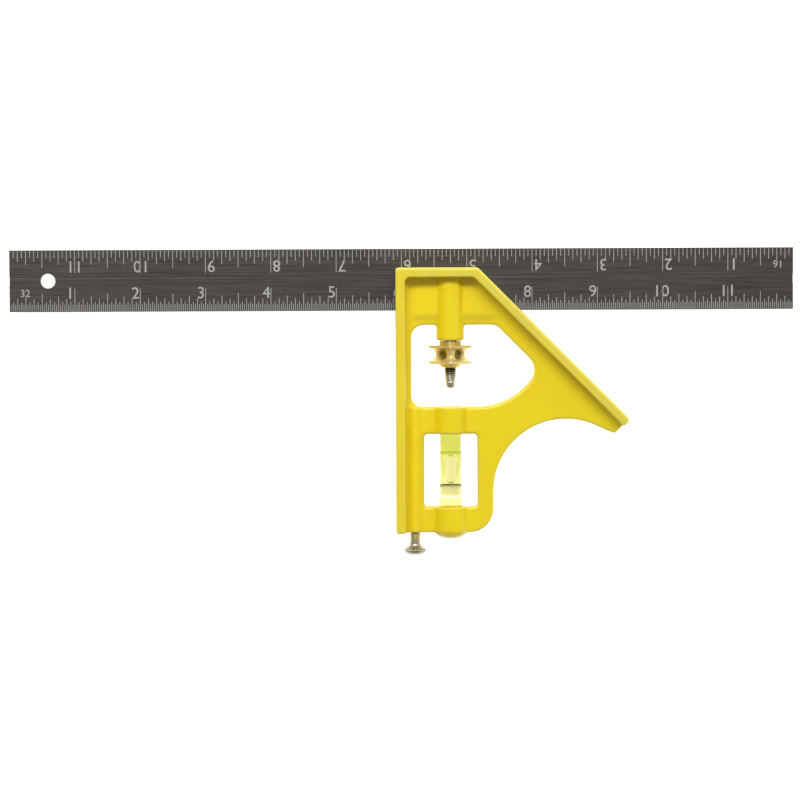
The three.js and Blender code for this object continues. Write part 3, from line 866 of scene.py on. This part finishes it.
class SQUARE_OT_head(bpy.types.Operator):
    """Build the cast head from the CAD casting, with its edges and inner corners rounded"""

    bl_idname = "square.head"
    bl_label = "Cast head"

    def execute(self, context):
        settings = context.scene.square_head
        mesh = self.rounded_casting(context, settings)
        keep_values(mesh, "edge", edge_values(mesh, settings.grain))
        add_piece(mesh, paint_material(settings), "head", "casting", "head_casting")
        return {"FINISHED"}

    def rounded_casting(self, context, settings):
        """The casting as a fine skin of even cells, which is smoothed a few times."""
        rough = link("head_rough", merged_copy("head_casting", "head_rough"))
        cells = rough.modifiers.new("Cells", "REMESH")
        cells.mode = "VOXEL"
        cells.voxel_size = settings.grain * MM
        ease = rough.modifiers.new("Ease", "SMOOTH")
        ease.factor = 0.5
        ease.iterations = settings.rounds
        mesh = bpy.data.meshes.new_from_object(rough.evaluated_get(context.evaluated_depsgraph_get()))
        mesh.name = "head_cast"
        bpy.data.objects.remove(rough)
        if len(mesh.polygons) < 1000:
            raise RuntimeError("the casting's copy could not be rounded")
        mesh.shade_smooth()
        return mesh


def graduations(lengths):
    """Lines along an edge of the rule, as rows of (distance from the rule's left end, length).
    lengths gives each line's length by the coarsest inch fraction that it falls on."""
    finest = max(lengths)
    steps = np.arange(1, 12 * finest)
    reach = np.full(len(steps), lengths[finest])
    for fraction, longer in sorted(lengths.items(), reverse=True):
        reach = np.where(steps % (finest // fraction) == 0, longer, reach)
    return np.stack([steps * INCH / finest, reach], -1)


def number_points(text, height, bottom, top):
    """The built-in font's text as the points and triangles of closed figures, of that height,
    centred on the origin and reaching from the bottom to the top along Z."""
    font_height = 0.7
    curve = bpy.data.curves.new("number", "FONT")
    curve.body = text
    curve.resolution_u = 3
    curve.extrude = 0.1
    holder = bpy.data.objects.new("number", curve)
    mesh = bpy.data.meshes.new_from_object(holder)
    bpy.data.objects.remove(holder)
    bpy.data.curves.remove(curve)
    with Editing(mesh) as work:
        bmesh.ops.remove_doubles(work, verts=work.verts, dist=1e-4)
        bmesh.ops.recalc_face_normals(work, faces=work.faces)
    mesh.calc_loop_triangles()
    points = read_rows(mesh.vertices, "co", 3)
    faces = read_rows(mesh.loop_triangles, "vertices", 3, np.int64)
    bpy.data.meshes.remove(mesh)
    points = (points - (points.min(0) + points.max(0)) / 2) * height / font_height
    points[:, 2] = np.where(points[:, 2] > 0, top, bottom)
    return points, faces


def edge_marks(settings, lengths, middle, beside):
    """The marks along one edge of the rule, from that edge's left end, as pairs of points and
    faces. The inch numbers stand left of their lines, and those of two figures stand on them. By
    the rule's end stands the number of parts that the inch is divided into."""
    clear_of_edge, sunk, proud = 0.05, -0.02, settings.mark_height
    inset = settings.edge + clear_of_edge
    half = settings.mark_width / 2
    along, reach = graduations(lengths).T
    low = np.stack([along - half, np.full_like(along, inset), np.full_like(along, sunk)], -1)
    high = np.stack([along + half, reach, np.full_like(along, proud)], -1)
    numbers = [
        (str(inch), settings.number_height, inch * INCH - (beside if inch < 10 else 0.0))
        for inch in range(1, 12)
    ]
    numbers.append((str(max(lengths)), settings.scale_height, SCALE_PLACE))
    marks = [boxes(low, high)]
    for text, height, place in numbers:
        points, faces = number_points(text, height, sunk, proud)
        marks.append((points + [place, middle, 0], faces))
    return marks


def rule_marks(name, settings):
    """The graduations and numbers of one face of the rule, as one mesh on its upper face. The
    lower edge reads from the left, and the upper edge is the same turned half round."""
    lower = edge_marks(settings, LOWER_LINES, settings.lower_number, settings.lower_beside)
    upper = edge_marks(settings, UPPER_LINES, settings.upper_number, settings.upper_beside)
    reach = [BLADE_HIGH[0] - BLADE_LOW[0], BLADE_HIGH[1] - BLADE_LOW[1], 0]
    upper = [(points * [-1, -1, 1] + reach, faces) for points, faces in upper]
    marks = lower + upper
    starts = np.cumsum([0] + [len(points) for points, _ in marks[:-1]])
    corner = [BLADE_LOW[0], BLADE_LOW[1], BLADE_HIGH[2]]
    points = np.vstack([points for points, _ in marks]) + corner
    rows = [row for start, (_, faces) in zip(starts, marks) for row in (faces + start).tolist()]
    mesh = bpy.data.meshes.new(name)
    mesh.from_pydata((points * MM).tolist(), [], rows)
    return mesh


def backed(mesh, name):
    """A copy of marks on the rule's upper face, turned over to its lower face about the rule's
    long middle line: (x, y, z) goes to (x, 2 b - y, 2 c - z), with b and c the rule's middle."""
    copy = mesh.copy()
    copy.name = name
    middle = Vector((BLADE_LOW + BLADE_HIGH) / 2 * MM)
    turn = Matrix.Rotation(math.pi, 4, "X")
    copy.transform(Matrix.Translation(middle) @ turn @ Matrix.Translation(-middle))
    return copy


class SQUARE_OT_blade(bpy.types.Operator):
    """Build the rule with its broken edges, graduations and numbers on both faces"""

    bl_idname = "square.blade"
    bl_label = "Rule"

    def execute(self, context):
        settings = context.scene.square_blade
        mesh = merged_copy("blade", "rule_bar")
        smooth(mesh, 30)
        bar = add_piece(mesh, blade_material(settings), "rule", "blade", "blade")
        round_edges(bar, settings.edge)
        front = rule_marks("rule_marks_front", settings)
        back = backed(front, "rule_marks_back")
        material = mark_material(settings)
        for marks in (front, back):
            add_piece(marks, material, "rule", "blade")
        return {"FINISHED"}


class SQUARE_OT_clamp(bpy.types.Operator):
    """Build the clamp bolt with its cut thread, and the lobed lock nut, and finish the spring"""

    bl_idname = "square.clamp"
    bl_label = "Clamp bolt and nut"

    def execute(self, context):
        settings = context.scene.square_clamp
        # Painted shadow on the bolt's steel just below the nut.
        nut_shadow_stem = (settings.oiled_steel, NUT_LOW[1] - 3.4, NUT_LOW[1] - 1.4)
        # Painted shade on the nut's collar, under the boss.
        collar_shade = (settings.oiled_brass, NUT_HIGH[1] - 2.4, NUT_HIGH[1] - 1.6)
        steel = turned_material("bolt_steel", settings.steel, CLAMP_AXIS, 4000.0, 0.30, above=nut_shadow_stem)
        brass = turned_material(
            "nut_brass", settings.brass, CLAMP_AXIS, 6000.0, 0.30,
            stain=0.7, above=collar_shade, hollow=settings.hollow_brass, metallic=0.6,
        )
        add_piece(self.stem(settings), steel, "bolt", "steel", "clamp_bolt")
        add_piece(self.upper_end(), steel, "bolt", "steel")
        add_piece(self.nut(settings), brass, "nut", "brass", "lock_nut")
        dress("clamp_spring", turned_material("spring_steel", settings.spring, CLAMP_AXIS, 5000.0, 0.3))
        return {"FINISHED"}

    def stem(self, settings):
        """The bolt's threaded stem. Its radius at height y and angle a is the outer radius less
        the depth times a triangle wave of y / pitch - a / turn, whose crests and roots are cut
        flat. Towards the end the outer radius tapers evenly, the thread runs out, and the rim of
        the end is round."""
        sides, steps, lap, end_round = 64, 10, 0.05, 0.45
        low = BOLT_LOW[1]
        height = np.arange(low, SHOULDER + lap, settings.pitch / steps)[:, None]
        angle = round_angles(sides)
        wave = np.abs(2 * np.mod(height / settings.pitch - angle / (2 * np.pi), 1.0) - 1)
        along = np.clip((height - low) / settings.taper, 0, 1)
        full = settings.end_radius + (settings.stem_radius - settings.end_radius) * along
        depth = settings.thread_depth * np.clip(2 * along - 0.7, 0, 1)
        near = np.clip(1 - (height - low) / end_round, 0, 1)
        rounding = end_round * (1 - np.sqrt(1 - near**2))
        radius = full - depth * np.clip(1.25 * wave - 0.12, 0, 1) - rounding
        radius = np.pad(radius, ((1, 1), (0, 0)))
        height = np.pad(height, ((1, 1), (0, 0)), mode="edge")
        points = turned_points(radius, height, angle, CLAMP_AXIS)
        mesh = mesh_of("bolt_thread", points, grid_faces(len(height), sides, False))
        smooth(mesh, 40)
        return mesh

    def upper_end(self):
        """The bolt's hidden upper end, from its shoulder up, as the CAD has it. Its top is drawn
        in towards its middle, so that it clears the rounded end of its bore when it rises."""
        taper, inset = 1.3 * MM, 0.8 * MM
        top = BOLT_HIGH[1] * MM
        mesh = merged_copy("clamp_bolt", "bolt_head")
        with Editing(mesh) as work:
            self.cut(work, SHOULDER * MM, clear_inner=True)
            bmesh.ops.remove_doubles(work, verts=work.verts, dist=1e-6)
            bmesh.ops.dissolve_degenerate(work, edges=work.edges, dist=1e-6)
            bmesh.ops.holes_fill(work, edges=[edge for edge in work.edges if edge.is_boundary])
            self.cut(work, top - taper)
            bmesh.ops.recalc_face_normals(work, faces=work.faces)
        place = read_rows(mesh.vertices, "co", 3)
        end = place[:, 1] > top - 0.01 * MM
        inward = place[end].mean(0) - place[end]
        place[end] += inward / np.linalg.norm(inward, axis=1, keepdims=True) * inset
        mesh.vertices.foreach_set("co", place.ravel())
        smooth(mesh, 30)
        return mesh

    def cut(self, work, height, clear_inner=False):
        """Cuts the mesh across at a height in metres, and takes away what is below if asked."""
        every = work.verts[:] + work.edges[:] + work.faces[:]
        bmesh.ops.bisect_plane(
            work, geom=every, plane_co=(0, height, 0), plane_no=(0, 1, 0), clear_inner=clear_inner
        )

    def nut(self, settings):
        """The nut. Between its rims the radius is the waist's, plus what the rims add times
        |2 level - 1| cubed. Its flutes cut in by their depth times |sin(lobes a / 2)| to the
        power 1.5, and less and less inside the waist's radius."""
        bore, tail, tail_root, collar, rim = 2.5, 3.3, 4.6, 4.2, 8.5
        tail_height, collar_height, lip = 1.5, 1.7, 0.75
        waist = settings.waist
        low, high = NUT_LOW[1], NUT_HIGH[1]
        body_low, body_high = low + tail_height, high - collar_height
        level = np.linspace(0, 1, 25)
        radius = waist + (rim - waist) * np.abs(2 * level - 1) ** 3
        height = body_low + lip + (body_high - body_low - 2 * lip) * level
        profile = np.vstack([
            [[bore, low], [tail, low], [tail_root, body_low], [rim, body_low]],
            np.stack([radius, height], -1),
            [[rim, body_high], [collar, body_high], [collar, high], [bore, high], [bore, low]],
        ])

        def flute(radius, angle):
            core = 3.7
            depth = np.clip((radius - core) / (waist - core), 0, 1) * settings.flute_depth
            return depth * np.abs(np.sin(settings.lobes * angle / 2)) ** 1.5

        mesh = turned("nut_turned", eased(profile, 0.22, 4)[:-1], CLAMP_AXIS, 192, flute)
        smooth(mesh, 50)
        # The flutes darken as tarnish and painted shade.
        keep_values(mesh, "hollow", self.flute_dirt(mesh, settings, body_low, body_high))
        return mesh

    def flute_dirt(self, mesh, settings, low, high):
        """For each point, how deep it lies in a flute, which sets how far tarnish and painted shade darken
        it: 0 at the waist and 1 near a flute's bottom, fading towards the rims, which lie at the low and the
        high height."""
        fade = 2.4
        x, y, z = read_rows(mesh.vertices, "co", 3).T / MM
        radius = np.hypot(x - CLAMP_AXIS[0], z - CLAMP_AXIS[1])
        depth = np.clip((settings.waist - 0.1 - radius) / (0.7 * settings.flute_depth), 0, 1)
        return depth * np.clip(np.minimum(y - low, high - y) / fade, 0, 1)


class SQUARE_OT_vial(bpy.types.Operator):
    """Build the vial's wall and its fluid with the bubble, and finish its rings, cap, plug and pad"""

    bl_idname = "square.vial"
    bl_label = "Spirit vial"

    def execute(self, context):
        settings = context.scene.square_vial
        clear = clear_material(settings)
        add_piece(self.wall(), clear, "head", "vial_clear", "vial_tube")
        add_piece(self.fluid(settings), fluid_material(settings), "head", "vial_fluid", "vial_fluid")
        dress("vial_ring_upper", worn_ring_material(settings))
        dress("vial_ring_lower", moulded_material("sight_ring_grey", settings.grey_ring, 0.4))
        dress("vial_cap", clear)
        dress("vial_plug", moulded_material("plug_plastic", settings.plug, 0.4))
        dress("vial_pad", moulded_material("pad_rubber", settings.pad, 0.75))
        return {"FINISHED"}

    def wall(self):
        """The vial's wall, turned: a tube closed at its lower end, with two grooves for the
        sight rings."""
        thickness, groove, play = 0.9, 0.42, 0.02
        outer = (TUBE_HIGH[0] - TUBE_LOW[0]) / 2
        inner, low, high, floor = outer - thickness, TUBE_LOW[1], TUBE_HIGH[1], FLUID_LOW[1]
        rings = []
        for ring_low, ring_high in (RING_LOWER, RING_UPPER):
            bottom, top = ring_low[1] - play, ring_high[1] + play
            rings += [[outer, bottom], [outer - groove, bottom], [outer - groove, top], [outer, top]]
        profile = [[0, low], [outer, low], *rings, [outer, high], [inner, high], [inner, floor], [0, floor]]
        mesh = turned("vial_wall", eased(profile, 0.12, 3), CLAMP_AXIS)
        smooth(mesh, 40)
        return mesh

    def fluid(self, settings):
        """The fluid, a turned column that just enters the wall, with the bubble as a hollow."""
        side_lap, end_lap = 0.06, 0.03
        radius = (FLUID_HIGH[0] - FLUID_LOW[0]) / 2 + side_lap
        low, high = FLUID_LOW[1] - end_lap, FLUID_HIGH[1]
        profile = eased([[0, low], [radius, low], [radius, high], [0, high]], 0.3, 4)
        column = turned("fluid", profile, CLAMP_AXIS)
        mesh = hollowed("fluid_column", column, self.bubble(settings, radius))
        smooth(mesh, 50)
        return mesh

    def bubble(self, settings, radius):
        """The bubble, an ellipsoid (w sin u cos v, -l cos u, d sin u sin v), with w, l and d half
        its width, length and depth, flattened under a film of fluid. radius is the fluid's."""
        rows, sides, half_depth, sunk, film = 33, 48, 1.75, 1.6, 0.12
        u = np.linspace(0, np.pi, rows)[:, None]
        v = round_angles(sides)
        x = settings.bubble_width / 2 * np.sin(u) * np.cos(v)
        y = -settings.bubble_length / 2 * np.cos(u) + 0 * v
        roof = np.sqrt(np.maximum((radius - film) ** 2 - x**2, 0))
        z = np.minimum(radius - sunk + half_depth * np.sin(u) * np.sin(v), roof)
        points = np.stack([CLAMP_AXIS[0] + x, BUBBLE_MIDDLE + y, CLAMP_AXIS[1] + z], -1).reshape(-1, 3)
        return mesh_of("bubble", points, grid_faces(rows, sides, False))


class SQUARE_OT_scriber(bpy.types.Operator):
    """Build the scriber's knurled knob and finish its needle and bush"""

    bl_idname = "square.scriber"
    bl_label = "Scriber"

    def execute(self, context):
        settings = context.scene.square_scriber
        # The knob turns a browner yellow up its neck.
        neck_tint = (settings.neck, KNOB_LOW[1] + 4.4, KNOB_LOW[1] + 6.4)
        metal = turned_material(
            "knob_metal", settings.knob, SCRIBER_AXIS, 6000.0, 0.33, above=neck_tint
        )
        add_piece(self.knob(settings), metal, "scriber", "knob", "scriber_knob")
        dress("scriber_needle", turned_material("needle_steel", settings.needle, SCRIBER_AXIS, 2500.0, 0.26))
        dress("scriber_bush", turned_material("bush_brass", settings.bush, SCRIBER_AXIS, 6000.0, 0.3))
        return {"FINISHED"}

    def knob(self, settings):
        """The knob: a neck that flares to a knurled rim and steps in to its end. The flare's
        radius is the neck's plus what the rim adds times the square of 1 - level. The rim is cut
        in by the knurl depth times the square of sin(knurls a / 2)."""
        end, end_rim, rim, neck = 2.4, 3.7, 4.25, 2.0
        end_height, rim_low, rim_high, flare_height = 0.8, 1.6, 2.1, 2.4
        low, high = KNOB_LOW[1], KNOB_HIGH[1]
        level = np.linspace(0, 1, 13)[:, None]
        flared = np.hstack([neck + (rim - neck) * (1 - level) ** 2, low + rim_high + flare_height * level])
        profile = np.vstack([
            [[0, low], [end, low], [end_rim, low + end_height], [rim, low + rim_low]],
            flared,
            [[neck, high], [0, high]],
        ])

        def flute(radius, angle):
            knurl_depth, root, fade = 0.15, 3.9, 0.25
            depth = knurl_depth * np.clip((radius - root) / fade, 0, 1)
            return depth * np.sin(settings.knurls * angle / 2) ** 2

        mesh = turned("knob_turned", eased(profile, 0.22, 4), SCRIBER_AXIS, 224, flute)
        smooth(mesh, 45)
        return mesh


# Stage


class SQUARE_OT_stage(bpy.types.Operator):
    """Set the floor, the soft light and the camera"""

    bl_idname = "square.stage"
    bl_label = "Floor, light and camera"

    def execute(self, context):
        settings = context.scene.square_stage
        scene = context.scene
        floor = self.floor(settings)
        scene.world = self.room(settings)
        key_size, fill_size, aim = (1.7, 0.34), (0.7, 0.7), settings.lights_aim
        self.soft_box("key", settings.key_place, aim, key_size, settings.key)
        self.soft_box("fill", settings.fill_place, aim, fill_size, settings.fill)
        scene.camera = self.camera(settings)
        scene.view_settings.view_transform = "Standard"
        scene.view_settings.look = "None"
        return {"FINISHED"}

    def floor(self, settings):
        """The floor, one large square under the object."""
        half = 4.0
        corners = [(-half, -half, 0), (half, -half, 0), (half, half, 0), (-half, half, 0)]
        mesh = bpy.data.meshes.new("floor")
        mesh.from_pydata(corners, [], [(0, 1, 2, 3)])
        mesh.materials.append(floor_material(settings))
        return link("floor", mesh)

    def room(self, settings):
        """Even light from all round that grows towards the zenith. It looks white itself."""
        world = bpy.data.worlds.new("soft_room")
        world.use_nodes = True
        tree = Tree(world.node_tree)
        direction = tree.add("ShaderNodeTexCoord").outputs["Generated"]
        strength = tree.scaled(tree.split(direction)["Z"], settings.horizon, settings.zenith)
        seen = tree.add("ShaderNodeLightPath").outputs["Is Camera Ray"]
        background = world.node_tree.nodes["Background"].inputs
        tree.join(background["Color"], (1.0, 1.0, 1.0))
        tree.join(background["Strength"], tree.scaled(seen, strength, 1.0))
        return world

    def soft_box(self, name, place, aim, size, watts):
        """A soft light at a place, aimed at a point, with its width and its depth in metres."""
        light = bpy.data.lights.new(name, "AREA")
        light.shape = "RECTANGLE"
        light.size, light.size_y = size
        light.energy = watts
        obj = link(name, light)
        obj.location = place
        obj.rotation_euler = (Vector(place) - Vector(aim)).to_track_quat("Z", "Y").to_euler()

    def camera(self, settings):
        """The camera, turned about X, Y and Z from straight down, and backed off from its target."""
        lens = bpy.data.cameras.new("camera")
        lens.lens = settings.lens
        lens.sensor_width = 36.0
        lens.clip_end = 100.0
        turn = Matrix.Identity(3)
        for axis, degrees in zip("XYZ", CAMERA_TURN):
            turn = turn @ Matrix.Rotation(math.radians(degrees), 3, axis)
        camera = link("camera", lens)
        camera.location = Vector(CAMERA_TARGET) * MM + turn @ Vector((0, 0, settings.distance))
        camera.rotation_euler = turn.to_euler()
        return camera


class SQUARE_PT_panel(bpy.types.Panel):
    """Lists the square's operators and settings in the sidebar"""

    bl_label = "Combination square"
    bl_idname = "SQUARE_PT_panel"
    bl_space_type = "VIEW_3D"
    bl_region_type = "UI"
    bl_category = "Square"

    def draw(self, context):
        for operator in OPERATORS:
            self.layout.operator(operator.bl_idname)
        for name in SETTINGS:
            settings = getattr(context.scene, name)
            box = self.layout.box()
            for title in settings.__annotations__:
                box.prop(settings, title)


OPERATORS = (
    SQUARE_OT_head,
    SQUARE_OT_blade,
    SQUARE_OT_clamp,
    SQUARE_OT_vial,
    SQUARE_OT_scriber,
    SQUARE_OT_stage,
)


def register():
    """Registers the settings, the operators and the panel."""
    for cls in (*SETTINGS.values(), *OPERATORS, SQUARE_PT_panel):
        bpy.utils.register_class(cls)
    for name, cls in SETTINGS.items():
        setattr(bpy.types.Scene, name, PointerProperty(type=cls))


def unregister():
    """Takes back what register did."""
    for name in SETTINGS:
        delattr(bpy.types.Scene, name)
    for cls in reversed((*SETTINGS.values(), *OPERATORS, SQUARE_PT_panel)):
        bpy.utils.unregister_class(cls)


def main():
    """Builds everything."""
    register()
    for operator in OPERATORS:
        group, name = operator.bl_idname.split(".")
        getattr(getattr(bpy.ops, group), name)()


if __name__ == "__main__":
    main()
